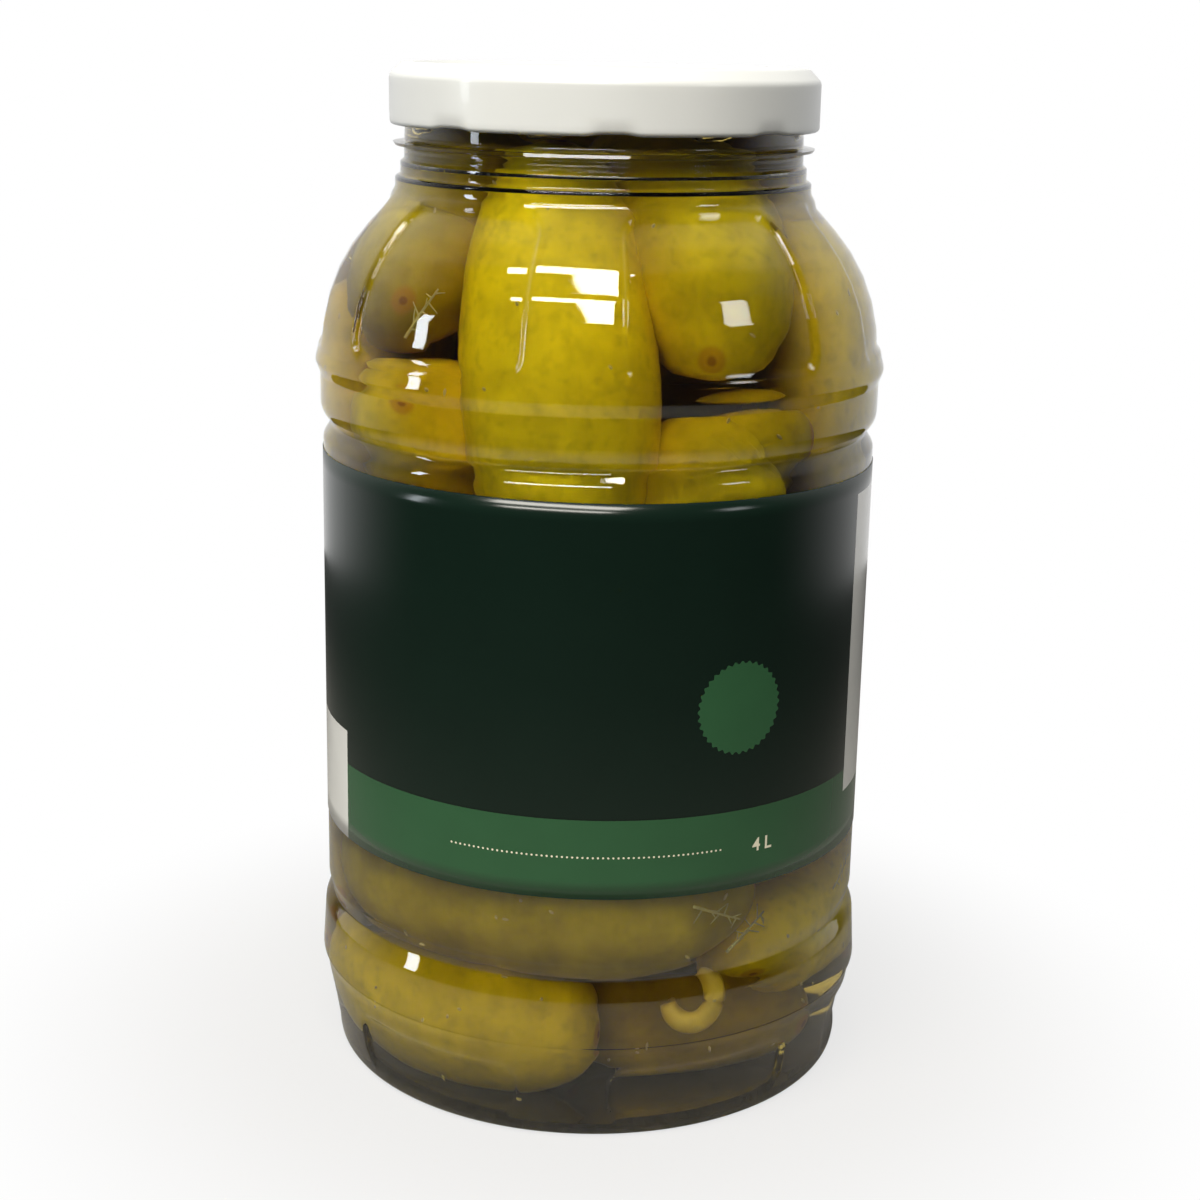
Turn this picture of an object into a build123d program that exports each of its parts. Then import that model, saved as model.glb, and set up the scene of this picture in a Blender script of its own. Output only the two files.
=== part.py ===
"""Four-litre clear PET jar of pickles in brine, with a white metal lug lid and a wrapped label.

Units are millimetres, +Z is up, and the origin is the centre of the ring that the jar stands on.
The jar is blow moulded, so its outline is turned: heel, bulge, waist groove, straight label wall,
upper groove, band, bead, shoulder, stepped neck, transfer ring and finish. Six shallow panels are
sunk in the shoulder and six more in the heel, and eight slanted thread segments hold the lid.
"""
import os
from math import atan2, cos, degrees, radians, sin, tan

from build123d import *

# ---- jar: the body's radius, and how far each section stands out from it or is set in ----
label_wall_radius = 75.0
standing_ring_inset = 15.0
base_inset = 3.4
heel_proud = 1.0
bulge_proud = 1.8
bulge_top_proud = 1.0
waist_inset = 1.2
groove_inset = 2.4
band_proud = 0.6
bead_proud = 1.9
column_proud = 1.0

# ---- jar: the finish's radius, and how far the neck below it stands out ----
finish_radius = 52.4
neck_proud = 0.5
lower_neck_proud = 1.5
shoulder_top_proud = 2.9
transfer_ring_proud = 3.4

# ---- jar: heights of its sections, from the table up ----
heel_height = 25.9
bulge_height = 15.1
bulge_lip_height = 2.0
waist_height = 9.4
label_wall_height = 125.0
groove_height = 7.6
band_height = 9.7
bead_height = 6.8
shoulder_height = 41.5
shoulder_bend_height = 19.2
bend_corner_count = 3
shoulder_step_height = 3.0
lower_neck_height = 3.9
neck_height = 4.3
transfer_ring_height = 1.3
finish_height = 18.7
base_rise = 6.0

# ---- jar: rounding of the outline ----
base_edge_round = 3.5
soft_round = 3.0
crease_round = 1.0
bead_round = 2.4
band_edge_round = 6.0
bend_round = 32.0
neck_round = 0.9
transfer_ring_round = 0.5

# ---- jar: wall, sunk panels and thread ----
wall = 0.8
finish_wall = 1.8
wall_clearance = 20.0
panel_count = 6
first_panel_angle = -85.7
panel_angle = 42.0
panel_depth = 1.2
panel_corner_round = 6.0
shoulder_panel_land = 1.2
heel_panel_bottom = 5.2
heel_panel_height = 16.0
thread_count = 8
thread_depth = 1.5
thread_height = 2.0
thread_round = 0.6
thread_angle = 30.0
thread_slant = 10.0
first_thread_angle = -96.5

# ---- brine ----
headspace = 9.8

# ---- lid: tinplate cap with a rolled hem and eight lugs ----
sheet = 0.4
hem_radius = 1.2
skirt_gap = 3.95
lid_height = 16.0
lid_corner_height = 3.2
lid_corner_inset = 3.2
corner_round = 1.6
rim_round = 0.7
rim_width = 3.2
rim_rise = 1.0
centre_panel_radius = 36.0
centre_panel_rise = 0.5
liner_thickness = 0.8
liner_overhang = 0.4
lug_count = 8
lug_angle = 10.0
lug_height = 1.2
lug_gap = 0.6
lug_lift = 0.2
first_lug_angle = -87.5

# ---- label: printed film wrapped round the straight wall ----
label_thickness = 0.2
label_height = 102.7
label_lift = 18.7
label_lean = 0.35

# ---- radii that follow the body and the finish ----
standing_ring_radius = label_wall_radius - standing_ring_inset
base_radius = label_wall_radius - base_inset
heel_radius = label_wall_radius + heel_proud
bulge_radius = label_wall_radius + bulge_proud
bulge_top_radius = label_wall_radius + bulge_top_proud
waist_radius = label_wall_radius - waist_inset
groove_radius = label_wall_radius - groove_inset
band_radius = label_wall_radius + band_proud
bead_radius = label_wall_radius + bead_proud
column_radius = label_wall_radius + column_proud
neck_radius = finish_radius + neck_proud
lower_neck_radius = finish_radius + lower_neck_proud
shoulder_top_radius = finish_radius + shoulder_top_proud
transfer_ring_radius = finish_radius + transfer_ring_proud
bore_radius = finish_radius - finish_wall

# ---- levels that follow the section heights ----
bulge_bottom = heel_height
waist_bottom = bulge_bottom + bulge_height
label_wall_bottom = waist_bottom + waist_height
groove_bottom = label_wall_bottom + label_wall_height
band_bottom = groove_bottom + groove_height
bead_bottom = band_bottom + band_height
shoulder_bottom = bead_bottom + bead_height
shoulder_top = shoulder_bottom + shoulder_height
lower_neck_bottom = shoulder_top + shoulder_step_height
neck_bottom = lower_neck_bottom + lower_neck_height
ring_bottom = neck_bottom + neck_height
ring_top = ring_bottom + transfer_ring_height
mouth = ring_top + finish_height
brine_level = mouth - headspace

# ---- lid levels and radii that follow the finish ----
lid_top = mouth + liner_thickness + sheet
lid_bottom = lid_top - lid_height
skirt_radius = finish_radius + skirt_gap + sheet
rim_outer_radius = skirt_radius - lid_corner_inset
rim_inner_radius = rim_outer_radius - rim_width
lug_bottom = lid_bottom + lug_lift
lug_top = lug_bottom + lug_height

# ---- sketches that cut a section are larger than the whole jar ----
reach = bead_radius + wall_clearance
tall = 3 * mouth


def inset_half(section, inset):
    """Set a mirrored section in by an even distance and keep its half at positive radius."""
    with BuildSketch(Plane.XZ) as half:
        add(section.sketch_local)
        if inset:
            offset(amount=-inset)
        Rectangle(reach, tall, align=(Align.MIN, Align.CENTER), mode=Mode.INTERSECT)
    return half


def turned(section, inset):
    """Solid turned from a mirrored section that is set in by an even distance."""
    with BuildPart() as solid:
        with BuildSketch(Plane.XZ):
            add(inset_half(section, inset).sketch_local)
        revolve(axis=Axis.Z)
    return solid


def panel_pocket(floor, start, bottom, top, angle, corner_round):
    """Sector of a ring with rounded corners, as deep as the floor solid that is taken from it."""
    with BuildPart() as pocket:
        with BuildSketch(Plane.XZ):
            with Locations((start, bottom)):
                Rectangle(reach - start, top - bottom, align=(Align.MIN, Align.MIN))
        revolve(axis=Axis.Z, revolution_arc=angle)
        fillet(pocket.edges().filter_by(GeomType.LINE).filter_by(Plane.XY), corner_round)
        add(floor.part, mode=Mode.SUBTRACT)
    return pocket


def sink_panels(depth, margin):
    """Take both rows of panels out of the part being built, each grown by the margin all round."""
    floor = turned(jar_section, depth + margin)
    side_angle = degrees(margin / column_radius)
    corner_round = panel_corner_round + margin
    grown_angle = panel_angle + 2 * side_angle
    for start, bottom, top in (
        (standing_ring_radius, heel_panel_bottom, heel_panel_bottom + heel_panel_height),
        (bore_radius, shoulder_bottom + shoulder_panel_land, shoulder_top - shoulder_panel_land),
    ):
        pocket = panel_pocket(floor, start, bottom - margin, top + margin, grown_angle, corner_round)
        with PolarLocations(0, panel_count, start_angle=first_panel_angle - side_angle):
            add(pocket.part, mode=Mode.SUBTRACT)


# ---- shoulder bend: short straights round a large circle, with every corner between them rounded ----
shoulder_lean = atan2(column_radius - shoulder_top_radius, shoulder_height - shoulder_bend_height)
bend_radius = shoulder_bend_height / tan(shoulder_lean / 2)
bend_step = shoulder_lean / bend_corner_count
bend_corners = [
    (
        column_radius - bend_radius * (1 - cos((k + 0.5) * bend_step) / cos(bend_step / 2)),
        shoulder_bottom + bend_radius * sin((k + 0.5) * bend_step) / cos(bend_step / 2),
    )
    for k in range(bend_corner_count)
]
bend_rounds = [bend_round] * bend_corner_count

# ---- jar outline: a full section through the axis, so that insets of it stay true there ----
with BuildSketch(Plane.XZ) as jar_section:
    with BuildLine():
        push_up_radius = (standing_ring_radius**2 + base_rise**2) / (2 * base_rise)
        RadiusArc((0, base_rise), (standing_ring_radius, 0), push_up_radius)
        FilletPolyline(
            (standing_ring_radius, 0),
            (base_radius, 0),
            (heel_radius, bulge_bottom),
            (bulge_radius, bulge_bottom + bulge_lip_height),
            (bulge_top_radius, waist_bottom),
            (waist_radius, (waist_bottom + label_wall_bottom) / 2),
            (label_wall_radius, label_wall_bottom),
            (label_wall_radius, groove_bottom),
            (groove_radius, groove_bottom + groove_height / 2),
            (band_radius, band_bottom),
            (band_radius, bead_bottom),
            (bead_radius, bead_bottom + bead_height / 2),
            (column_radius, shoulder_bottom),
            radius=[
                base_edge_round, 0, crease_round, soft_round, crease_round, soft_round,
                soft_round, crease_round, band_edge_round, crease_round, bead_round,
            ],
        )
        FilletPolyline(
            (column_radius, shoulder_bottom),
            *bend_corners,
            (shoulder_top_radius, shoulder_top),
            (shoulder_top_radius, lower_neck_bottom),
            (lower_neck_radius, lower_neck_bottom + neck_round),
            (lower_neck_radius, neck_bottom),
            (neck_radius, neck_bottom + neck_round),
            (neck_radius, ring_bottom),
            (transfer_ring_radius, ring_bottom),
            (transfer_ring_radius, ring_top),
            (finish_radius, ring_top),
            (finish_radius, mouth),
            (0, mouth),
            (0, base_rise),
            radius=[
                *bend_rounds, soft_round, neck_round, 0, 0, 0, 0,
                transfer_ring_round, transfer_ring_round, 0, 0, 0,
            ],
        )
    make_face()
    mirror(about=Plane.YZ)

# ---- inside of the jar: the outline and its panels, one wall further in ----
with BuildPart() as cavity:
    with BuildSketch(Plane.XZ):
        add(inset_half(jar_section, wall).sketch_local)
        with Locations((bore_radius, lower_neck_bottom)):
            Rectangle(reach, mouth, align=(Align.MIN, Align.MIN), mode=Mode.SUBTRACT)
        with Locations((0, neck_bottom)):
            Rectangle(bore_radius, mouth - neck_bottom, align=(Align.MIN, Align.MIN))
    revolve(axis=Axis.Z)
    sink_panels(panel_depth, wall)

# ---- thread: short ridges round the finish, tipped so that the lid pulls down as it turns ----
thread_level = lug_top + lug_lift + thread_height / 2
with BuildPart() as thread_segment:
    tip = Plane.XZ.rotated((thread_slant, 0, 0))
    with BuildSketch(tip):
        with Locations((finish_radius, 0)):
            RectangleRounded(2 * thread_depth, thread_height, thread_round)
    revolve(axis=Axis((0, 0, 0), tip.y_dir), revolution_arc=thread_angle / 2)
    mirror(about=Plane.XZ)

with BuildPart() as jar:
    with BuildSketch(Plane.XZ):
        add(inset_half(jar_section, 0).sketch_local)
    revolve(axis=Axis.Z)
    sink_panels(panel_depth, 0)
    with Locations((0, 0, thread_level)):
        with PolarLocations(0, thread_count, start_angle=first_thread_angle):
            add(thread_segment.part)
    add(cavity.part, mode=Mode.SUBTRACT)

# ---- brine: fills the jar up to its level ----
with BuildPart() as brine:
    add(cavity.part)
    split(bisect_by=Plane.XY.offset(brine_level), keep=Keep.BOTTOM)

# ---- lid: pressed sheet with a raised rim, a hem rolled inward, a liner and eight lugs ----
with BuildSketch(Plane.XZ) as lid_section:
    with BuildLine():
        FilletPolyline(
            (0, lid_bottom - lid_height),
            (skirt_radius, lid_bottom - lid_height),
            (skirt_radius, lid_top - lid_corner_height),
            (rim_outer_radius, lid_top),
            (rim_inner_radius, lid_top),
            (rim_inner_radius - rim_rise, lid_top - rim_rise),
            (centre_panel_radius + centre_panel_rise, lid_top - rim_rise),
            (centre_panel_radius, lid_top - rim_rise + centre_panel_rise),
            (0, lid_top - rim_rise + centre_panel_rise),
            (0, lid_bottom - lid_height),
            radius=[0, corner_round, rim_round, rim_round, rim_round, rim_round, rim_round, 0, 0],
        )
    make_face()
    mirror(about=Plane.YZ)

with BuildPart() as lid:
    with BuildSketch(Plane.XZ):
        add(inset_half(lid_section, 0).sketch_local)
        add(inset_half(lid_section, sheet).sketch_local, mode=Mode.SUBTRACT)
        with Locations((0, lid_bottom - 2 * lid_height)):
            Rectangle(reach, 2 * lid_height + hem_radius, align=(Align.MIN, Align.MIN), mode=Mode.SUBTRACT)
        with Locations((skirt_radius - hem_radius, lid_bottom + hem_radius)):
            Circle(hem_radius)
        with Locations((finish_radius - finish_wall / 2, mouth)):
            Rectangle(finish_wall + 2 * liner_overhang, liner_thickness, align=(Align.CENTER, Align.MIN))
    revolve(axis=Axis.Z)
    with BuildSketch(Plane.XY.offset(lug_bottom)):
        with PolarLocations(0, lug_count, start_angle=first_lug_angle):
            lug_outer_radius = skirt_radius - hem_radius
            with BuildLine():
                outer = CenterArc((0, 0), lug_outer_radius, -lug_angle / 2, lug_angle)
                inner = CenterArc((0, 0), finish_radius + lug_gap, -lug_angle / 2, lug_angle)
                Line(outer @ 0, inner @ 0)
                Line(outer @ 1, inner @ 1)
            make_face()
    extrude(amount=lug_height)

# ---- label: a sleeve on the straight wall, cut at both edges by planes that lean a little ----
label_bottom = label_wall_bottom + label_lift
with BuildPart() as label:
    with BuildSketch(Plane.XY.offset(label_wall_bottom)):
        Circle(label_wall_radius + label_thickness)
        Circle(label_wall_radius, mode=Mode.SUBTRACT)
    extrude(amount=label_wall_height)
    lean = radians(label_lean)
    lower_edge = Plane(origin=(0, 0, label_bottom), z_dir=(sin(lean), 0, cos(lean)))
    split(bisect_by=lower_edge, keep=Keep.TOP)
    split(bisect_by=lower_edge.offset(label_height), keep=Keep.BOTTOM)

os.makedirs("parts", exist_ok=True)
for name, piece in (("jar", jar), ("brine", brine), ("lid", lid), ("label", label)):
    piece.part.label = name
    export_step(piece.part, f"parts/{name}.step")
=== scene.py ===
"""Four-litre clear plastic jar of whole dill pickles in brine, with a white metal lid and a film label."""
import math

import bpy
import numpy as np
from mathutils import Matrix, Vector, noise


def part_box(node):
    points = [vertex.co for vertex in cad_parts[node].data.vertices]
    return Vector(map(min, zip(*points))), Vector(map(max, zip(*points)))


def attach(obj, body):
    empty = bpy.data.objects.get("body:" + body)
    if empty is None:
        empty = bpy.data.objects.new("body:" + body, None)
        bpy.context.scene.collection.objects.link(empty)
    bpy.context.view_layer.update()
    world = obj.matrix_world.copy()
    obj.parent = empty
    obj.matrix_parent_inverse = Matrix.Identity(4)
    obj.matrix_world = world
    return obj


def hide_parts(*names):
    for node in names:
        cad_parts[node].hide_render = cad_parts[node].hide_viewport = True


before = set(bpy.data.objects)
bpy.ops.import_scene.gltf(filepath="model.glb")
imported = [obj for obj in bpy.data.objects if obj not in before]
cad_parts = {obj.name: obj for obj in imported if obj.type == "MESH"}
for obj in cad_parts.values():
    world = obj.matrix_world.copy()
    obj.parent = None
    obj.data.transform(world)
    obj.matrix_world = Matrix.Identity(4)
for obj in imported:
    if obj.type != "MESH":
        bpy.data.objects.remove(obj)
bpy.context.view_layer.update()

# ---- Jar ----
# Blow-moulded PET: a bottle-like shell 0.8 mm thick with a thicker injection-moulded finish on top.
# Its outline is turned, then six panels are sunk in the shoulder and six in the heel, and eight
# slanted thread segments stand on the finish. Angles count from the front of the label, to the right.
mm = 0.001
mouth_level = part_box("jar")[1].z / mm
base_rise, ring_radius = 6.0, 60.0
wall, finish_wall, finish_radius = 0.8, 1.8, 52.4
label_wall_radius, label_wall_bottom, label_wall_top = 75.0, 50.4, 175.4
shoulder_bottom, shoulder_top, ring_level = 199.5, 241.0, 252.2


def rounded_line(corners, rounds, step):
    """Points along a line with rounded corners, never further apart than the step."""
    corners = [np.array(c, float) for c in corners]
    path = [corners[0]]
    for before, corner, after, radius in zip(corners, corners[1:], corners[2:], rounds):
        back = (before - corner) / np.linalg.norm(before - corner)
        ahead = (after - corner) / np.linalg.norm(after - corner)
        half = math.acos(np.clip(back @ ahead, -1, 1)) / 2
        if radius == 0:
            path.append(corner)
            continue
        centre = corner + (back + ahead) / np.linalg.norm(back + ahead) * radius / math.sin(half)
        start = corner + back * radius / math.tan(half) - centre
        turn = math.pi - 2 * half
        side = np.sign(start[0] * ahead[1] - start[1] * ahead[0])
        for share in np.linspace(0, 1, max(3, math.ceil(turn / 0.14))):
            c, s = math.cos(share * turn * side), math.sin(share * turn * side)
            path.append(centre + np.array((c * start[0] - s * start[1], s * start[0] + c * start[1])))
    path.append(corners[-1])
    filled = [path[0]]
    for a, b in zip(path, path[1:]):
        count = max(1, math.ceil(np.linalg.norm(b - a) / step))
        filled += [a + (b - a) * k / count for k in range(1, count + 1)]
    return np.array(filled)


shell_outline = rounded_line(
    [
        (ring_radius, 0), (71.6, 0), (76.0, 25.9), (76.8, 27.9), (76.0, 41.0), (73.8, 45.7),
        (label_wall_radius, label_wall_bottom), (label_wall_radius, label_wall_top), (72.6, 179.2),
        (75.6, 183.0), (75.6, 192.7), (76.9, 196.1), (76.0, shoulder_bottom), (76.0, 218.7),
        (55.3, shoulder_top), (55.3, 244.0), (53.9, 244.9), (53.9, 247.9), (52.9, 248.8),
        (52.9, ring_level), (55.8, ring_level), (55.8, 253.5), (finish_radius, 253.5),
        (finish_radius, mouth_level),
    ],
    [3.5, 12, 1, 3, 1.2, 3, 3, 1.2, 6, 1.2, 2.4, 0.6, 48, 3, 0.5, 0.5, 0.5, 0.5, 0.4, 0.5, 0.5, 0.4],
    1.3,
)
push_up_radius = (ring_radius**2 + base_rise**2) / (2 * base_rise)
base_arc = [
    (r, base_rise - push_up_radius + math.sqrt(push_up_radius**2 - r * r))
    for r in np.linspace(0, ring_radius, 16)
]
outline = np.vstack((base_arc[:-1], shell_outline))

panel_centres = np.radians(25.3 + 60 * np.arange(6))
panel_half_width, panel_corner, panel_depth, panel_edge = math.radians(21), 6.0, 1.2, 1.5
edge_angles = np.linspace(-3, 3, 11)
land_angles = np.linspace(4.6, 13.4, 4)
floor_angles = np.linspace(4.8, 37.2, 13)
panel_angles = np.concatenate((edge_angles, floor_angles, 42 + edge_angles, 42 + land_angles))
turn_angles = np.radians(np.sort(np.concatenate([4.3 + 60 * k + panel_angles for k in range(6)])))


def smooth_step(low, high, x):
    t = np.clip((x - low) / (high - low), 0, 1)
    return t * t * (3 - 2 * t)


def panel_sink(angles, radii, levels):
    """How far each point of the grid is sunk, as a share: 1 on a panel's floor and 0 on the columns."""
    apart = np.abs((angles[None, :] - panel_centres[0] + math.pi / 6) % (math.pi / 3) - math.pi / 6)
    sink = np.zeros((len(levels), len(angles)))
    for bottom, top in ((5.2, 21.2), (shoulder_bottom + 1.2, shoulder_top - 1.2)):
        across = (apart - panel_half_width) * radii[:, None] + panel_corner
        up = np.abs(levels - (bottom + top) / 2)[:, None] - (top - bottom) / 2 + panel_corner
        outside = np.hypot(np.maximum(across, 0), np.maximum(up, 0)) + np.minimum(np.maximum(across, up), 0)
        sink = np.maximum(sink, 1 - smooth_step(-panel_edge, 0.3, outside - panel_corner))
    return sink


def thread_rise(angles, levels):
    """Height of the eight slanted thread segments over the finish, in millimetres."""
    along = (angles[None, :] - math.radians(-6.5) + math.pi / 8) % (math.pi / 4) - math.pi / 8
    level = 260.0 + along * finish_radius * math.tan(math.radians(10))
    ridge = 1 - smooth_step(0.5, 1.1, np.abs(levels[:, None] - level))
    return 1.5 * ridge * (1 - smooth_step(math.radians(13), math.radians(15.5), np.abs(along)))


def turned_grid(line, angles, inset):
    """Rows of points that follow a line round the jar's axis, set in by an even distance, in metres."""
    ahead = np.gradient(line, axis=0)
    normal = np.stack((ahead[:, 1], -ahead[:, 0]), 1)
    normal /= np.linalg.norm(normal, axis=1)[:, None]
    sink = panel_sink(angles, np.maximum(line[:, 0], 1), line[:, 1]) * panel_depth + inset
    radius = line[:, 0, None] - normal[:, 0, None] * sink
    level = line[:, 1, None] - normal[:, 1, None] * sink
    if not inset:
        radius = radius + thread_rise(angles, line[:, 1])
    return np.stack((radius * np.sin(angles), -radius * np.cos(angles), level), 2) * mm


def skin_mesh(name, rows):
    """Closed mesh from rows of points round the axis, with a point on the axis at both ends."""
    count = rows.shape[1]
    points = [(0, 0, rows[0, 0, 2])] + [tuple(p) for p in rows.reshape(-1, 3)] + [(0, 0, rows[-1, 0, 2])]
    faces = []
    for c in range(count):
        n = (c + 1) % count
        faces.append((0, 1 + n, 1 + c))
        last = 1 + (len(rows) - 1) * count
        faces.append((len(points) - 1, last + c, last + n))
        for r in range(len(rows) - 1):
            a, b = 1 + r * count, 1 + (r + 1) * count
            faces.append((a + c, a + n, b + n, b + c))
    mesh = bpy.data.meshes.new(name)
    mesh.from_pydata(points, [], faces)
    mesh.polygons.foreach_set("use_smooth", [True] * len(faces))
    piece = bpy.data.objects.new(name, mesh)
    bpy.context.scene.collection.objects.link(piece)
    return piece


def turned_rows(line, angles):
    """Rows of points of a plain line turned round the axis, in metres."""
    radius, level = line[:, 0, None], line[:, 1, None]
    return np.stack((radius * np.sin(angles), -radius * np.cos(angles), level + 0 * angles), 2) * mm


class Socket:
    """An output of a node, with arithmetic that adds Math nodes."""

    def __init__(self, tree, link):
        self.tree, self.link = tree, link

    def __add__(self, other):
        return self.tree.node("ShaderNodeMath", {"operation": "ADD"}, {0: self, 1: other})

    def __sub__(self, other):
        return self.tree.node("ShaderNodeMath", {"operation": "SUBTRACT"}, {0: self, 1: other})

    def __rsub__(self, other):
        return self.tree.node("ShaderNodeMath", {"operation": "SUBTRACT"}, {0: other, 1: self})

    def __mul__(self, other):
        return self.tree.node("ShaderNodeMath", {"operation": "MULTIPLY"}, {0: self, 1: other})

    __radd__, __rmul__ = __add__, __mul__


class Finish:
    """A material that is put together node by node."""

    def __init__(self, name, tree=None):
        if tree is None:
            self.material = bpy.data.materials.new(name)
            self.material.use_nodes = True
            tree = self.material.node_tree
        self.nodes, self.links = tree.nodes, tree.links
        self.nodes.clear()

    def node(self, kind, settings={}, inputs={}, output=0):
        """Add any node: its settings first, then the values or links of its sockets."""
        made = self.nodes.new(kind)
        for key, value in settings.items():
            setattr(made, key, value)
        for key, value in inputs.items():
            if isinstance(value, Socket):
                self.links.new(value.link, made.inputs[key])
            else:
                made.inputs[key].default_value = value
        return Socket(self, made.outputs[output]) if len(made.outputs) else made

    def mix(self, share, first, second):
        """Blend two colours by a share."""
        return self.node("ShaderNodeMix", {"data_type": "RGBA"}, {0: share, 6: first, 7: second}, 2)

    def noise(self, scale, detail):
        place = self.node("ShaderNodeTexCoord", output=3)
        return self.node("ShaderNodeTexNoise", {}, {"Vector": place, "Scale": scale, "Detail": detail})

    def ranged(self, value, start, end, low, high):
        """A value from start to end, turned smoothly into one from low to high and held there."""
        ends = {0: value, 1: start, 2: end, 3: low, 4: high}
        return self.node("ShaderNodeMapRange", {"interpolation_type": "SMOOTHSTEP"}, ends)

    def bump(self, height, strength, distance):
        return self.node("ShaderNodeBump", {}, {"Height": height, "Strength": strength, "Distance": distance})

    def surface(self, inputs, volume=None):
        """The Principled surface, and a volume if the piece has one."""
        shader = self.node("ShaderNodeBsdfPrincipled", {}, inputs)
        links = {"Surface": shader}
        if volume:
            links["Volume"] = volume
        self.node("ShaderNodeOutputMaterial", {}, links)
        return self.material


bore_radius, finish_bottom = finish_radius - finish_wall, 248.0
lip = rounded_line(
    [(finish_radius, mouth_level), (bore_radius, mouth_level), (bore_radius, finish_bottom + 0.5)],
    [0.5], 1.3,
)
below_finish = outline[outline[:, 1] < finish_bottom]
outer_skin = turned_grid(outline, turn_angles, 0)
lip_skin = turned_rows(lip[1:], turn_angles)
inner_skin = turned_grid(below_finish, turn_angles, wall)[::-1]
jar_shell = skin_mesh("jar_shell", np.vstack((outer_skin[1:], lip_skin, inner_skin[:-1])))

pet = Finish("clear_pet")
waviness = pet.noise(38, 1)
jar_shell.data.materials.append(pet.surface({
    "Base Color": (0.985, 0.99, 0.97, 1), "Transmission Weight": 1, "IOR": 1.40, "Roughness": 0.02,
    "Normal": pet.bump(waviness, 0.25, 0.0008),
}))
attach(jar_shell, "root")
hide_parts("jar")

# ---- Brine ----
# Yellow-green vinegar brine that fills the jar to just under the mouth. Its skin lies in the middle
# of the plastic, so that no air shows between the two, and its top is flat with a small meniscus.
brine_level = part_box("brine")[1].z / mm
brine_skin = turned_grid(below_finish, turn_angles, wall / 2)
in_finish, flat_level = finish_radius - finish_wall / 2, brine_level - 0.3
neck_line = rounded_line(
    [(in_finish, finish_bottom + 0.6), (in_finish, brine_level), (20, flat_level), (1, flat_level)],
    [0.3, 0], 3,
)
brine_body = skin_mesh("brine_body", np.vstack((brine_skin[1:], turned_rows(neck_line, turn_angles))))
brine = Finish("pickling_brine")
absorb = brine.node("ShaderNodeVolumeAbsorption", {}, {"Color": (0.78, 0.65, 0.02, 1), "Density": 24.0})
brine_body.data.materials.append(brine.surface(
    {"Base Color": (1, 1, 1, 1), "Transmission Weight": 1, "IOR": 1.34, "Roughness": 0.0}, absorb
))
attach(brine_body, "root")
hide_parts("brine")

# ---- Pickles ----
# Whole cucumbers 90 to 120 mm long, pushed in by hand: each is a chain of round slices that is
# pressed off its neighbours and the wall, and the skin is lofted over the chain. Each entry gives
# the two tips, the radius and how yellow the skin is.
shown_pickles = [
    ((-11, -31, 250), (-9, -55, 195), (-8, -50, 138), 21.5, 1.0),
    ((14, 12, 252), (24, -24, 226), (29, -47, 192), 20.5, 0.6),
    ((-26, 4, 252), (-38, -20, 228), (-50, -38, 204), 20.0, 0.25),
    ((-22, 20, 152), (-40, -20, 172), (-52, -44, 192), 21.0, 0.7),
    ((56, -12, 244), (62, -20, 200), (58, -22, 150), 19.5, 0.75),
    ((8, -52, 166), (36, -44, 178), (62, -22, 184), 18.5, 0.5),
    ((-64, -14, 66), (-16, -56, 61), (40, -42, 53), 20.5, 0.25),
    ((5, -52, 23), (-30, -50, 24), (-58, -6, 28), 19.5, 0.7),
    ((38, -50, 34), (58, -26, 34), (60, 28, 36), 20.5, 1.1),
    ((8, -26, 18), (36, -34, 17), (62, -10, 18), 14.5, 0.2),
    ((30, -54, 76), (29, -55, 118), (26, -52, 162), 18.0, 0.4),
    ((-40, -46, 88), (-44, -50, 126), (-44, -48, 170), 18.0, 0.4),
    ((62, -34, 62), (50, -14, 68), (30, 14, 78), 18.0, 0.4),
    ((-60, 4, 24), (-48, 36, 22), (-12, 54, 22), 18.0, 0.3),
    ((-26, -4, 24), (2, 6, 24), (30, 4, 26), 19.0, 0.3),
    ((-2, 40, 22), (26, 44, 22), (52, 20, 24), 18.0, 0.3),
]
draw = np.random.default_rng(7)
hidden_pickles = []
for turn in np.radians(np.arange(75, 300, 37)):
    for low, high in ((40, 124), (122, 212)):
        lean = draw.normal(0, 6, 6)
        x, y = 51 * math.sin(turn), -51 * math.cos(turn)
        hidden_pickles.append((
            (x * 0.9 + lean[0], y * 0.9 + lean[1], low), (x + lean[2], y + lean[3], (low + high) / 2),
            (x * 0.9 + lean[4], y * 0.9 + lean[5], high), 19 + draw.uniform(-1.5, 2), draw.uniform(0.3, 0.9),
        ))
hidden_pickles += [
    ((0, 0, 44), (4, 3, 86), (8, 6, 132), 20, 0.5),
    ((-6, 2, 135), (0, 4, 180), (4, -2, 226), 20, 0.5),
    ((-30, 44, 200), (-12, 42, 230), (6, 34, 254), 19, 0.7),
    ((44, 40, 196), (36, 30, 226), (24, 16, 250), 18, 0.6),
    ((-50, 10, 206), (-44, 14, 226), (-34, 12, 250), 16, 0.5),
    ((-60, -16, 40), (-64, 12, 42), (-46, 44, 44), 17, 0.5),
    ((-30, -18, 46), (0, -8, 46), (30, -4, 44), 17, 0.4),
    ((-14, 20, 46), (14, 26, 44), (46, 30, 42), 16, 0.4),
]
pickles = shown_pickles + hidden_pickles
slice_count = 11
slice_share = np.linspace(0.04, 0.96, slice_count)
chains = np.array([
    [np.array(a) * (1 - s) ** 2 + np.array(m) * 2 * s * (1 - s) + np.array(b) * s * s for s in slice_share]
    for a, m, b, _, _ in pickles
], float)
end_bluntness = 3.2
slice_radius = np.array([
    [p[3] * (1 - abs(2 * s - 1) ** end_bluntness) ** 0.5 for s in slice_share] for p in pickles
])
link = np.linalg.norm(chains[:, 1:] - chains[:, :-1], axis=2)
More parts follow.
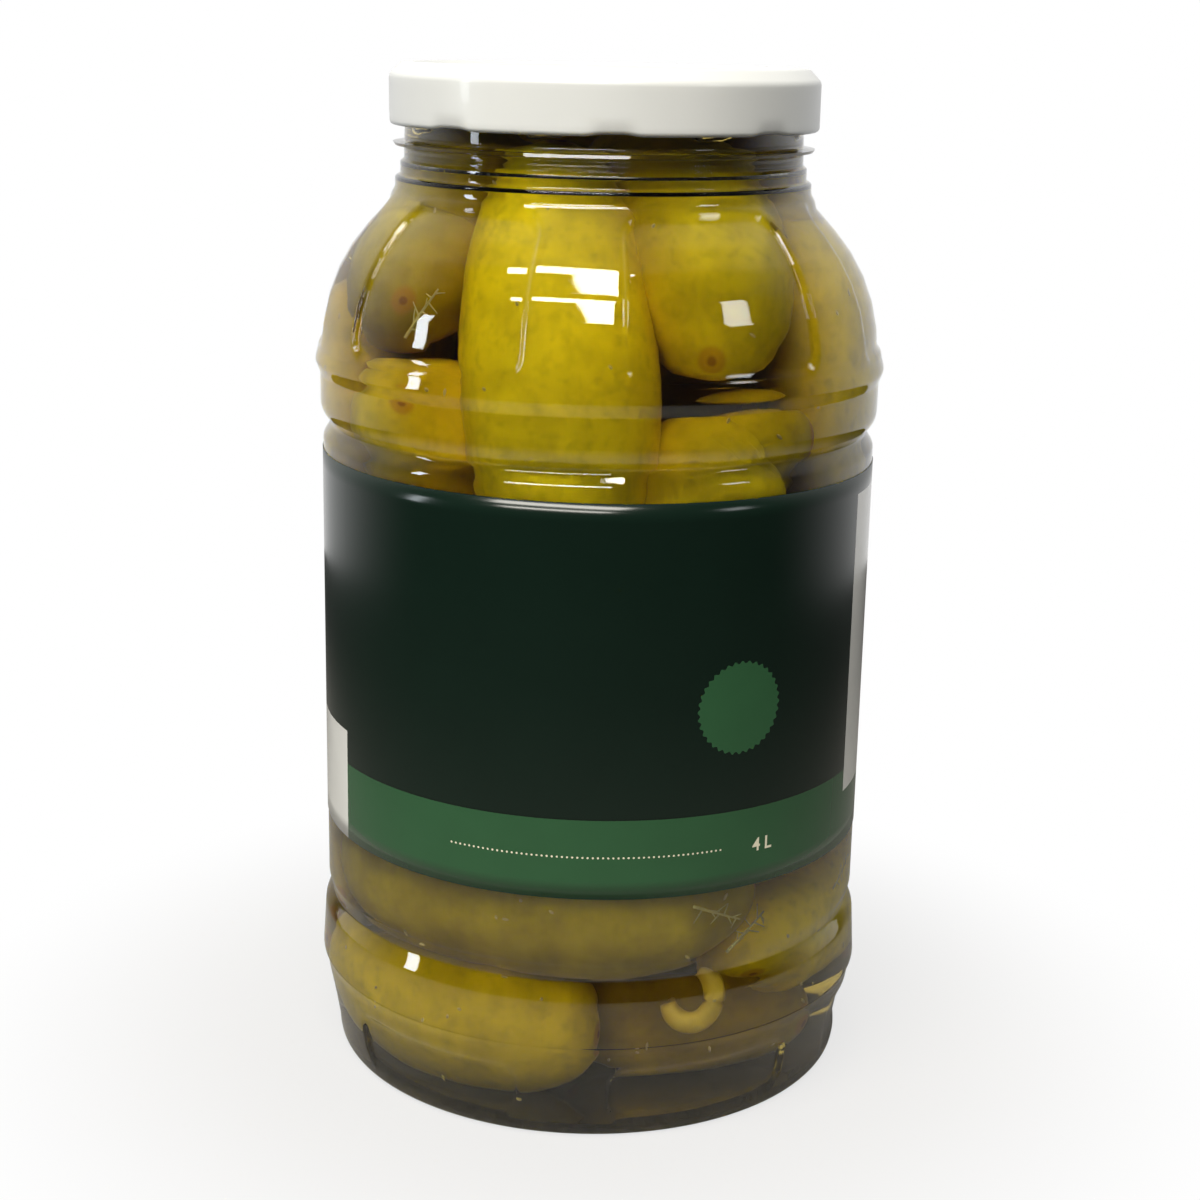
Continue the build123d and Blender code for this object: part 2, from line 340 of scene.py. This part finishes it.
bore = np.array([(51.5, z) for z in np.arange(finish_bottom + 1, brine_level, 1.5)])
off_base = (outline[:, 0] > ring_radius + 2) | (outline[:, 1] > 100)
side_wall = off_base & (outline[:, 1] > 0.1) & (outline[:, 1] < finish_bottom)
inner_line = np.vstack((outline[side_wall] - (1.4, 0), bore))
at_panels = (inner_line[:, 1] < shoulder_top) * (np.abs(inner_line[:, 1] - 110) > 84)
inner_line[:, 0] -= panel_depth * at_panels


def room_across(levels, radii):
    """How far off the axis a ball at each level can be before it meets the inside of the jar."""
    rise = np.abs(inner_line[None, :, 1] - levels[:, None])
    reach = inner_line[None, :, 0] - np.sqrt(np.maximum(radii[:, None] ** 2 - rise**2, 0))
    return np.where(rise < radii[:, None] + 1.5, reach, 1e3).min(1)


shown_push, hidden_push = 0.05, 0.26
owner = np.repeat(np.arange(len(pickles)), slice_count)
same_pickle = owner[:, None] == owner[None]
push_share = np.where(owner < len(shown_pickles), shown_push, hidden_push)[:, None]
radii = slice_radius.reshape(-1)
for _ in range(90):
    places = chains.reshape(-1, 3)
    apart = places[:, None] - places[None]
    distance = np.linalg.norm(apart, axis=2) + np.eye(len(places))
    room = radii[:, None] + radii[None] - distance
    room[(room < 0) | same_pickle] = 0
    places = places + (apart / distance[:, :, None] * room[:, :, None]).sum(1) * push_share
    free = room_across(places[:, 2], radii + 0.8)
    out = np.hypot(places[:, 0], places[:, 1])
    places[:, :2] *= np.minimum(1, np.maximum(free, 1) / np.maximum(out, 1e-6))[:, None]
    off_axis = np.hypot(places[:, 0], places[:, 1])
    floor_level = base_rise * np.maximum(1 - (off_axis / ring_radius) ** 2, 0) + 1.2
    places[:, 2] = np.clip(places[:, 2], radii + floor_level, brine_level - 1.5 - radii)
    chains = places.reshape(chains.shape)
    for _ in range(4):
        step = chains[:, 1:] - chains[:, :-1]
        length = np.linalg.norm(step, axis=2)
        fix = step * ((length - link) / length / 2)[:, :, None]
        chains[:, :-1] += fix
        chains[:, 1:] -= fix
        straight = (chains[:, :-2] + chains[:, 2:]) / 2
        chains[:, 1:-1] += (straight - chains[:, 1:-1]) * 0.1


def pickle_skin(chain, radius, seed, rings, sides):
    """Points of one pickle: a lumpy, slightly three-sided tube with blunt ends round its chain."""
    total = np.linalg.norm(chain[1:] - chain[:-1], axis=1).sum() / (slice_share[-1] - slice_share[0])
    spread = (1 - np.cos(np.linspace(0, math.pi, rings))) / 2
    spine = np.stack([
        np.polyval(np.polyfit(slice_share, chain[:, axis], 4), spread) for axis in range(3)
    ], 1)
    ahead = np.gradient(spine, axis=0)
    ahead /= np.maximum(np.linalg.norm(ahead, axis=1), 1e-9)[:, None]
    side = np.cross(ahead, (0.31, 0.62, 0.72))
    side /= np.linalg.norm(side, axis=1)[:, None]
    other = np.cross(ahead, side)
    local = np.random.default_rng(seed)
    phase = local.uniform(0, 2 * math.pi, 4)
    round_angle = np.linspace(0, 2 * math.pi, sides, endpoint=False)
    girth = radius * np.maximum(1 - np.abs(2 * spread - 1) ** end_bluntness, 0) ** 0.5
    girth = girth * (1 + 0.05 * np.sin(2.2 * math.pi * spread + phase[0]))
    ribs = 1 + 0.025 * np.cos(3 * round_angle + phase[1]) + 0.03 * np.cos(2 * round_angle + phase[2])
    cosines, sines = np.cos(round_angle)[None, :, None], np.sin(round_angle)[None, :, None]
    points = spine[:, None] + girth[:, None, None] * ribs[None, :, None] * (
        cosines * side[:, None] + sines * other[:, None]
    )
    outward = points - spine[:, None]
    outward /= np.maximum(np.linalg.norm(outward, axis=2), 1e-9)[:, :, None]
    shift = Vector((seed, 0, 0))
    lumps = np.array([
        [0.55 * noise.noise(Vector(p) / 11 + shift) + 0.16 * noise.noise(Vector(p) / 2.6) for p in ring]
        for ring in points
    ])
    points = points + outward * lumps[:, :, None] * np.minimum(1, girth / 6)[:, None, None]
    wall_room = np.interp(points[:, :, 2], inner_line[:, 1], inner_line[:, 0]) - 0.4
    off_axis = np.maximum(np.hypot(points[:, :, 0], points[:, :, 1]), 1e-6)
    points[:, :, :2] *= np.minimum(1, wall_room / off_axis)[:, :, None]
    tip_distance = np.minimum(*(np.linalg.norm(points - spine[end], axis=2) for end in (0, -1)))
    return points, tip_distance


def pickle_heap(name, wanted, rings, sides):
    """One mesh of several pickles, with yellowness and distance from the nearer tip as attributes."""
    points, faces, yellow, tip = [], [], [], []
    for number in wanted:
        skin, tip_distance = pickle_skin(chains[number], pickles[number][3], number, rings, sides)
        first = len(points)
        points += [tuple(p) for p in skin.reshape(-1, 3) * mm]
        for r in range(rings - 1):
            for s in range(sides):
                n = (s + 1) % sides
                a, b = first + r * sides, first + (r + 1) * sides
                faces.append((a + s, a + n, b + n, b + s))
        yellow += [pickles[number][4]] * (rings * sides)
        tip += list(tip_distance.reshape(-1))
    mesh = bpy.data.meshes.new(name)
    mesh.from_pydata(points, [], faces)
    for key, values in (("yellow", yellow), ("tip", tip)):
        mesh.attributes.new(key, "FLOAT", "POINT").data.foreach_set("value", values)
    mesh.polygons.foreach_set("use_smooth", [True] * len(faces))
    heap = bpy.data.objects.new(name, mesh)
    bpy.context.scene.collection.objects.link(heap)
    return heap


skin = Finish("pickle_skin")
yellow = skin.node("ShaderNodeAttribute", {"attribute_name": "yellow"}, output=2)
tip = skin.node("ShaderNodeAttribute", {"attribute_name": "tip"}, output=2)
patches = skin.noise(55, 3)
speckle = skin.noise(330, 3)
tone = skin.node("ShaderNodeMapRange", {}, {0: yellow + patches * 1.1 - 0.55, 1: 0.0, 2: 1.1})
skin_colour = skin.mix(tone, (0.34, 0.25, 0.004, 1), (1.0, 0.78, 0.006, 1))
blotches = skin.node("ShaderNodeMapRange", {}, {0: skin.noise(170, 2), 1: 0.5, 2: 0.72, 3: 0.0, 4: 0.2})
skin_colour = skin.mix(blotches, skin_colour, (0.26, 0.19, 0.008, 1))
freckles = skin.node("ShaderNodeMapRange", {}, {0: speckle, 1: 0.52, 2: 0.75, 3: 0.0, 4: 0.2})
skin_colour = skin.mix(freckles, skin_colour, (0.20, 0.15, 0.008, 1))
scar = skin.ranged(tip, 4.2, 2.6, 0.0, 0.65)
skin_colour = skin.mix(scar, skin_colour, (0.55, 0.25, 0.008, 1))
scar_heart = skin.ranged(tip, 1.6, 0.7, 0.0, 0.7)
skin_colour = skin.mix(scar_heart, skin_colour, (0.28, 0.10, 0.01, 1))
pickle_finish = skin.surface({
    "Base Color": skin_colour, "Roughness": 0.45, "IOR": 1.12, "Normal": skin.bump(speckle, 0.2, 0.0005),
})
for name, wanted, rings, sides in (
    ("front_pickles", range(len(shown_pickles)), 84, 72),
    ("inner_pickles", range(len(shown_pickles), len(pickles)), 56, 48),
):
    heap = pickle_heap(name, wanted, rings, sides)
    heap.data.materials.append(pickle_finish)
    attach(heap, "root")

# ---- Dill, seeds and a curled stem ----
# Loose bits that sink in the brine: fine dill sprigs pressed to the wall, mustard and dill seeds that
# settle low in the jar, and one thick stem curled into a hook between the pickles at the front.
def tube(path, radii, sides):
    """Points and faces of a tapered tube along a path, in millimetres."""
    path = np.array(path, float)
    ahead = np.gradient(path, axis=0)
    ahead /= np.linalg.norm(ahead, axis=1)[:, None]
    side = np.cross(ahead, (0.2, 0.3, 0.93))
    side /= np.linalg.norm(side, axis=1)[:, None]
    other = np.cross(ahead, side)
    turn = np.linspace(0, math.tau, sides, endpoint=False)
    cosines, sines = np.cos(turn)[None, :, None], np.sin(turn)[None, :, None]
    ring = cosines * side[:, None] + sines * other[:, None]
    points = (path[:, None] + ring * np.array(radii)[:, None, None]).reshape(-1, 3)
    faces = [
        (a + k, a + (k + 1) % sides, a + sides + (k + 1) % sides, a + sides + k)
        for a in range(0, (len(path) - 1) * sides, sides) for k in range(sides)
    ]
    last = (len(path) - 1) * sides
    return points, faces + [tuple(range(sides))[::-1], tuple(range(last, last + sides))]


def sunk_piece(name, parts, finish):
    """One mesh of many small parts, riding in the jar."""
    points, faces = [], []
    for part_points, part_faces in parts:
        first = len(points)
        points += [tuple(np.array(p) * mm) for p in part_points]
        faces += [tuple(first + k for k in face) for face in part_faces]
    mesh = bpy.data.meshes.new(name)
    mesh.from_pydata(points, [], faces)
    mesh.polygons.foreach_set("use_smooth", [True] * len(faces))
    mesh.materials.append(finish)
    piece = bpy.data.objects.new(name, mesh)
    bpy.context.scene.collection.objects.link(piece)
    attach(piece, "root")


def on_wall(angle, level, gap):
    """A place just inside the wall, by degrees from the front and height, in millimetres."""
    radius, turn = np.interp(level, inner_line[:, 1], inner_line[:, 0]) - gap, math.radians(angle)
    return np.array((radius * math.sin(turn), -radius * math.cos(turn), level))


sprig_gap, mm_per_degree = 0.6, 1.27
sprig_parts = []
for angle, level, lean in (
    (27, 62, -25), (34, 55, 40), (-38, 214, 60), (70, 58, 20), (-95, 56, -50), (140, 60, 15),
    (-150, 215, 40), (180, 58, -30), (95, 212, 25),
):
    slope = math.radians(lean)
    stem = [
        on_wall(angle + 6 * t * math.cos(slope), level + 7 * t * math.sin(slope), sprig_gap)
        for t in np.linspace(-1, 1, 12)
    ]
    sprig_parts.append(tube(stem, np.linspace(0.5, 0.25, 12), 6))
    for k in range(2, 11):
        heading = slope + (draw.uniform(-0.9, 0.9) + (1.1 if k % 2 else -1.1))
        size = draw.uniform(2.0, 4.5)
        turn = math.degrees(math.atan2(stem[k][0], -stem[k][1]))
        run, climb = size * math.cos(heading) / mm_per_degree, size * math.sin(heading)
        leaf = [on_wall(turn + t * run, stem[k][2] + t * climb, sprig_gap) for t in np.linspace(0, 1, 5)]
        sprig_parts.append(tube(leaf, np.linspace(0.28, 0.12, 5), 5))
dill = Finish("dill_green")
sunk_piece("dill_sprigs", sprig_parts, dill.surface({
    "Base Color": dill.mix(dill.noise(300, 2), (0.45, 0.38, 0.05, 1), (0.75, 0.66, 0.20, 1)),
    "Roughness": 0.6,
}))

seed_parts = []
seed_radii = [0.08, 0.32, 0.42, 0.32, 0.08]
for number in range(150):
    low, high = (8, 68) if number % 3 else (180, 246)
    place = on_wall(draw.uniform(0, 360), draw.uniform(low, high), 0.9)
    slant = draw.normal(0, 1, 3)
    slant /= np.linalg.norm(slant)
    length = draw.uniform(0.5, 1.1)
    seed_parts.append(tube([place + slant * length * t for t in (-1, -0.6, 0, 0.6, 1)], seed_radii, 7))
seed = Finish("seed_skin")
sunk_piece("seeds", seed_parts, seed.surface({
    "Base Color": seed.mix(seed.noise(250, 1), (0.55, 0.40, 0.05, 1), (0.80, 0.68, 0.20, 1)),
    "Roughness": 0.5,
}))

hook_centre, hook_radius = np.array((26.4, -61.5, 37.6)), 6.2
hook_path = [
    hook_centre + hook_radius * np.array((math.cos(a), 0.25 * math.sin(a), 1.12 * math.sin(a)))
    for a in np.linspace(math.radians(75), math.radians(-165), 30)
]
hook = tube(hook_path, 3.0 - 1.0 * np.linspace(-1, 1, 30) ** 4, 16)
stem_finish = Finish("curled_stem")
sunk_piece("curled_stem", [hook], stem_finish.surface({
    "Base Color": stem_finish.mix(stem_finish.noise(200, 3), (0.62, 0.40, 0.02, 1), (0.92, 0.70, 0.05, 1)),
    "Roughness": 0.5, "Normal": stem_finish.bump(stem_finish.noise(500, 2), 0.3, 0.0004),
}))

# ---- Lid ----
# Tinplate twist-off cap, white satin enamel: raised rim, sunk centre, rolled hem pressed in at
# eight places, where its lugs hook under the thread.
lid_low, lid_high = (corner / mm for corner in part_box("lid"))
lid_radius = lid_high.x
lid_top, hem_level = lid_high.z, lid_low.z
sheet, hem_radius, rim_round = 0.35, 1.2, 3.2
strip_inner, strip_outer, strip_level = 36, 49.3, lid_top - 1.0
rim_inner = strip_outer + 1.1
lid_outside = rounded_line(
    [
        (1, lid_top - 0.5), (strip_inner, lid_top - 0.5), (strip_inner + 0.5, strip_level),
        (strip_outer, strip_level), (rim_inner, lid_top), (lid_radius - rim_round, lid_top),
        (lid_radius, lid_top - rim_round),
        (lid_radius, hem_level + hem_radius),
    ],
    [0.7, 0.7, 0.7, 0.7, 1.4, 2.4], 1.2,
)
hem = [
    (lid_radius - hem_radius + hem_radius * math.cos(a), hem_level + hem_radius + hem_radius * math.sin(a))
    for a in np.linspace(0, -1.25 * math.pi, 14)
]
lid_inside = rounded_line(
    [
        (lid_radius - sheet, hem_level + 2.4), (lid_radius - sheet, lid_top - 3.4),
        (lid_radius - 3.4, lid_top - sheet), (rim_inner, lid_top - sheet),
        (strip_outer, strip_level - sheet), (1, strip_level - sheet),
    ],
    [2.2, 1.2, 0.5, 0.5], 2.5,
)
lid_line = np.vstack((lid_outside, hem[1:], lid_inside))
lid_angles = np.radians(np.arange(0, 360, 1.0))
lug_place = np.abs((lid_angles - math.radians(2.5) + math.pi / 8) % (math.pi / 4) - math.pi / 8)
pressed = 1 - smooth_step(math.radians(2.5), math.radians(7.5), lug_place)
near_hem = 1 - smooth_step(0, 4.2, lid_line[:, 1] - hem_level)
dent = near_hem[:, None] * pressed[None, :]
lid_r = lid_line[:, 0, None] - 0.45 * dent
lid_z = lid_line[:, 1, None] + 0.5 * dent
lid_rows = np.stack((lid_r * np.sin(lid_angles), -lid_r * np.cos(lid_angles), lid_z), 2) * mm
lid_shell = skin_mesh("lid_shell", lid_rows)
enamel = Finish("white_enamel")
orange_peel = enamel.noise(900, 2)
clouding = enamel.noise(30, 3)
lid_shell.data.materials.append(enamel.surface({
    "Base Color": enamel.mix(clouding, (0.57, 0.585, 0.575, 1), (0.63, 0.64, 0.63, 1)),
    "Roughness": clouding * 0.1 + 0.28, "Coat Weight": 0.2, "Normal": enamel.bump(orange_peel, 0.08, 0.0002),
}))
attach(lid_shell, "root")
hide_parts("lid")

# ---- Label ----
# Glossy printed film wrapped once round the straight wall: a near-black green field over a green
# band, two blank white panels at the sides, a plain scalloped seal, a dotted rule and the volume.
label_low, label_high = (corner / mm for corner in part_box("label"))
label_radius = label_high.x
label_lean = math.tan(math.radians(0.35))
label_height = 102.7
label_bottom = (label_low.z + label_high.z) / 2 - label_height / 2
band_height, line_height = 21.3, 0.5
film = 0.15
white_panels = [(65.5, 97.0, 15.0, 97.5), (-97.0, -60.5, -1.0, 30.5)]


def label_point(angle, height, lift=0.0):
    """A place on the label, by degrees from its front and millimetres over its lower edge."""
    turn = math.radians(angle)
    x = (label_radius + lift) * math.sin(turn)
    return np.array((x, -(label_radius + lift) * math.cos(turn), label_bottom + height - label_lean * x)) * mm


columns = sorted(set(np.arange(-180, 180, 1.5)) | {a for panel in white_panels for a in panel[:2]})
line_top = band_height + line_height
levels = sorted(set(np.linspace(0, label_height, 22)) | {band_height, line_top} | {15.0, 97.5, 30.5})
label_points = [
    tuple(label_point(a, h, lift)) for lift in (-film, 0) for h in levels for a in columns
]
wide, tall = len(columns), len(levels)
label_faces, face_finish = [], []
for h in range(tall - 1):
    for c in range(wide):
        n = (c + 1) % wide
        a, b = wide * (tall + h), wide * (tall + h + 1)
        label_faces.append((a + c, a + n, b + n, b + c))
        middle_angle = columns[c] + 0.01
        middle = (levels[h] + levels[h + 1]) / 2
        kind = 1 if middle < band_height else 2 if middle < line_top else 0
        for left, right, low, high in white_panels:
            if left <= middle_angle < right and low < middle < high:
                kind = 3
        face_finish.append(kind)
        a, b = wide * h, wide * (h + 1)
        label_faces.append((a + c, b + c, b + n, a + n))
        face_finish.append(0)
for c in range(wide):
    n = (c + 1) % wide
    label_faces.append((c, n, wide * tall + n, wide * tall + c))
    top_in, top_out = wide * (tall - 1), wide * (2 * tall - 1)
    label_faces.append((top_in + n, top_in + c, top_out + c, top_out + n))
    face_finish += [1, 0]
label_mesh = bpy.data.meshes.new("label_film")
label_mesh.from_pydata(label_points, [], label_faces)
label_film = bpy.data.objects.new("label_film", label_mesh)
bpy.context.scene.collection.objects.link(label_film)


def film_finish(name, colour, roughness):
    """Printed film: one ink with faint unevenness, and a soft gloss."""
    ink = Finish(name)
    uneven = ink.noise(60, 3)
    deeper = tuple(c * 0.82 for c in colour) + (1,)
    return ink.surface({
        "Base Color": ink.mix(uneven, deeper, (*colour, 1)), "Roughness": roughness,
        "Specular IOR Level": 0.35, "Normal": ink.bump(ink.noise(26, 1), 0.15, 0.0006),
    })


for colour_name, colour in (
    ("dark_green_film", (0.0045, 0.013, 0.0085)), ("green_band_film", (0.026, 0.092, 0.038)),
    ("line_film", (0.003, 0.010, 0.006)), ("white_film", (0.74, 0.74, 0.71)),
):
    label_mesh.materials.append(film_finish(colour_name, colour, 0.16))
label_mesh.polygons.foreach_set("material_index", face_finish)
label_mesh.polygons.foreach_set("use_smooth", [True] * len(label_faces))
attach(label_film, "root")
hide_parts("label")


def printed(name, flat_points, faces, angle, height, finish):
    """Ink laid on the label: a flat mesh in millimetres, wrapped round at the angle and height."""
    wrapped = [
        tuple(label_point(angle + math.degrees(x / label_radius), height + y, 0.04)) for x, y in flat_points
    ]
    mesh = bpy.data.meshes.new(name)
    mesh.from_pydata(wrapped, [], faces)
    mesh.materials.append(finish)
    ink = bpy.data.objects.new(name, mesh)
    bpy.context.scene.collection.objects.link(ink)
    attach(ink, "root")


seal_radius, scallops = 12.0, 36
seal_points, seal_faces = [(0, 0)], []
rim_count, seal_rings = scallops * 8, 12
for ring in range(1, seal_rings + 1):
    for k in range(rim_count):
        a, share = math.tau * k / rim_count, ring / seal_rings
        r = seal_radius * share * (1 + 0.03 * math.cos(scallops * a) * share**8)
        seal_points.append((r * math.sin(a), r * math.cos(a)))
for k in range(rim_count):
    n = (k + 1) % rim_count
    seal_faces.append((0, 1 + n, 1 + k))
    for first in range(1, 1 + rim_count * (seal_rings - 1), rim_count):
        seal_faces.append((first + k, first + n, first + rim_count + n, first + rim_count + k))
seal_finish = film_finish("seal_ink", (0.028, 0.098, 0.041), 0.2)
printed("seal", seal_points, seal_faces, 29.9, 48.9, seal_finish)

cream_ink = film_finish("cream_ink", (0.80, 0.76, 0.58), 0.25)
dot_radius, dot_sides = 0.28, 10
dot_angles = [k * math.tau / dot_sides for k in range(dot_sides)]
dot_points, dot_faces = [], []
for place in np.arange(-36, 36.1, 1.3):
    first = len(dot_points)
    dot_points += [(place + dot_radius * math.cos(a), dot_radius * math.sin(a)) for a in dot_angles]
    dot_faces.append(tuple(range(first, first + dot_sides)))
printed("dotted_rule", dot_points, dot_faces, -0.6, 11.3, cream_ink)

letters = bpy.data.curves.new("volume_letters", "FONT")
letters.body = "4 L"
letters.size = 5.0
letters.offset = 0.09
letters.align_x = "CENTER"
letters.resolution_u = 4
letter_piece = bpy.data.objects.new("volume_letters", letters)
bpy.context.scene.collection.objects.link(letter_piece)
bpy.context.view_layer.update()
shown_letters = letter_piece.evaluated_get(bpy.context.evaluated_depsgraph_get())
letter_mesh = bpy.data.meshes.new_from_object(shown_letters)
letter_points = [(v.co.x, v.co.y) for v in letter_mesh.vertices]
letter_faces = [tuple(p.vertices) for p in letter_mesh.polygons]
bpy.data.objects.remove(letter_piece)
printed("volume_mark", letter_points, letter_faces, 36.4, 9.2, cream_ink)

# ---- Studio ----
# A floor that is white to the camera but for the jar's soft shadow, surroundings lit behind and
# above, four lit panes in front, and a camera a little above the lid, looking down.
floor_radius, floor_points = 0.6, 96
floor_rim = [k * math.tau / floor_points for k in range(floor_points)]
floor_mesh = bpy.data.meshes.new("floor")
floor_mesh.from_pydata(
    [(floor_radius * math.cos(a), floor_radius * math.sin(a), 0) for a in floor_rim],
    [], [tuple(range(floor_points))],
)
floor = bpy.data.objects.new("floor", floor_mesh)
bpy.context.scene.collection.objects.link(floor)
paper = Finish("floor_paper")
seen = paper.node("ShaderNodeLightPath", output=0)
from_jar = paper.node("ShaderNodeTexCoord", output=3)
ground = paper.node("ShaderNodeVectorMath", {"operation": "LENGTH"}, {0: from_jar}, 1)
far = paper.ranged(ground, 0.075, 0.20, 0.75, 1.0)
white = paper.node("ShaderNodeEmission", {}, {"Color": (1, 1, 1, 1), "Strength": 1.0})
fade = paper.ranged(ground, 0.1, 0.5, 0.0, 1.0)
shade = paper.mix(fade, (0.3, 0.29, 0.27, 1), (0.04, 0.04, 0.04, 1))
matt = paper.node("ShaderNodeBsdfDiffuse", {}, {"Color": shade})
blend = paper.node("ShaderNodeMixShader", {}, {0: seen * far, 1: matt, 2: white})
paper.node("ShaderNodeOutputMaterial", {}, {"Surface": blend})
floor_mesh.materials.append(paper.material)

world = bpy.data.worlds.new("studio")
bpy.context.scene.world = world
world.use_nodes = True
room = Finish("studio", world.node_tree)
direct = room.node("ShaderNodeLightPath", output=0)
toward = room.node("ShaderNodeTexCoord", output=0)
depth = room.node("ShaderNodeSeparateXYZ", {}, {0: toward}, 1)
height = room.node("ShaderNodeSeparateXYZ", {}, {0: toward}, 2)
behind = room.ranged(depth, -0.25, 0.75, 0.03, 0.9)
above = room.ranged(height, 0.8, 1.0, 0.0, 0.25)
strength = direct + (1 - direct) * (behind + above)
sky = room.node("ShaderNodeBackground", {}, {"Color": (1, 1, 1, 1), "Strength": strength})
room.node("ShaderNodeOutputWorld", {}, {"Surface": sky})


def window(name, azimuth, elevation, wide, tall, radiance, colour, distance=1.4):
    """A lit pane that faces the jar from an azimuth, counted from the front to the right, and a height."""
    turn, lift = math.radians(azimuth), math.radians(elevation)
    toward = Vector((math.sin(turn) * math.cos(lift), -math.cos(turn) * math.cos(lift), math.sin(lift)))
    lamp = bpy.data.lights.new(name, "AREA")
    lamp.shape, lamp.size, lamp.size_y = "RECTANGLE", wide, tall
    lamp.energy, lamp.color = radiance * math.pi * wide * tall, colour
    pane = bpy.data.objects.new(name, lamp)
    pane.location = Vector((0, 0, 0.2)) + toward * distance
    pane.rotation_euler = toward.to_track_quat("Z", "Y").to_euler()
    pane.visible_camera = False
    bpy.context.scene.collection.objects.link(pane)


window("high_window", -20, 58, 1.1, 0.30, 25, (1.0, 0.96, 0.88))
window("low_window", -18, 38, 1.0, 0.16, 25, (1.0, 0.96, 0.88))
window("side_window", -76, 12, 0.14, 0.55, 12, (0.88, 0.95, 1.0))
window("right_window", 61, 28, 0.25, 0.25, 6, (0.95, 0.98, 1.0))

camera_place = Vector((1.4, -572.2, 281.0)) * mm
tilt, roll = math.radians(15.0), math.radians(1.172)
across = Vector((1, 0, 0))
upward = Vector((0, math.sin(tilt), math.cos(tilt)))
right = math.cos(roll) * across + math.sin(roll) * upward
top = math.cos(roll) * upward - math.sin(roll) * across
away = right.cross(top)
lens = bpy.data.cameras.new("camera")
lens.lens, lens.sensor_width = 63.29, 36.0
camera = bpy.data.objects.new("camera", lens)
camera.matrix_world = Matrix.Translation(camera_place) @ Matrix((right, top, away)).transposed().to_4x4()
bpy.context.scene.collection.objects.link(camera)
bpy.context.scene.camera = camera
bpy.context.scene.view_settings.view_transform = "Standard"
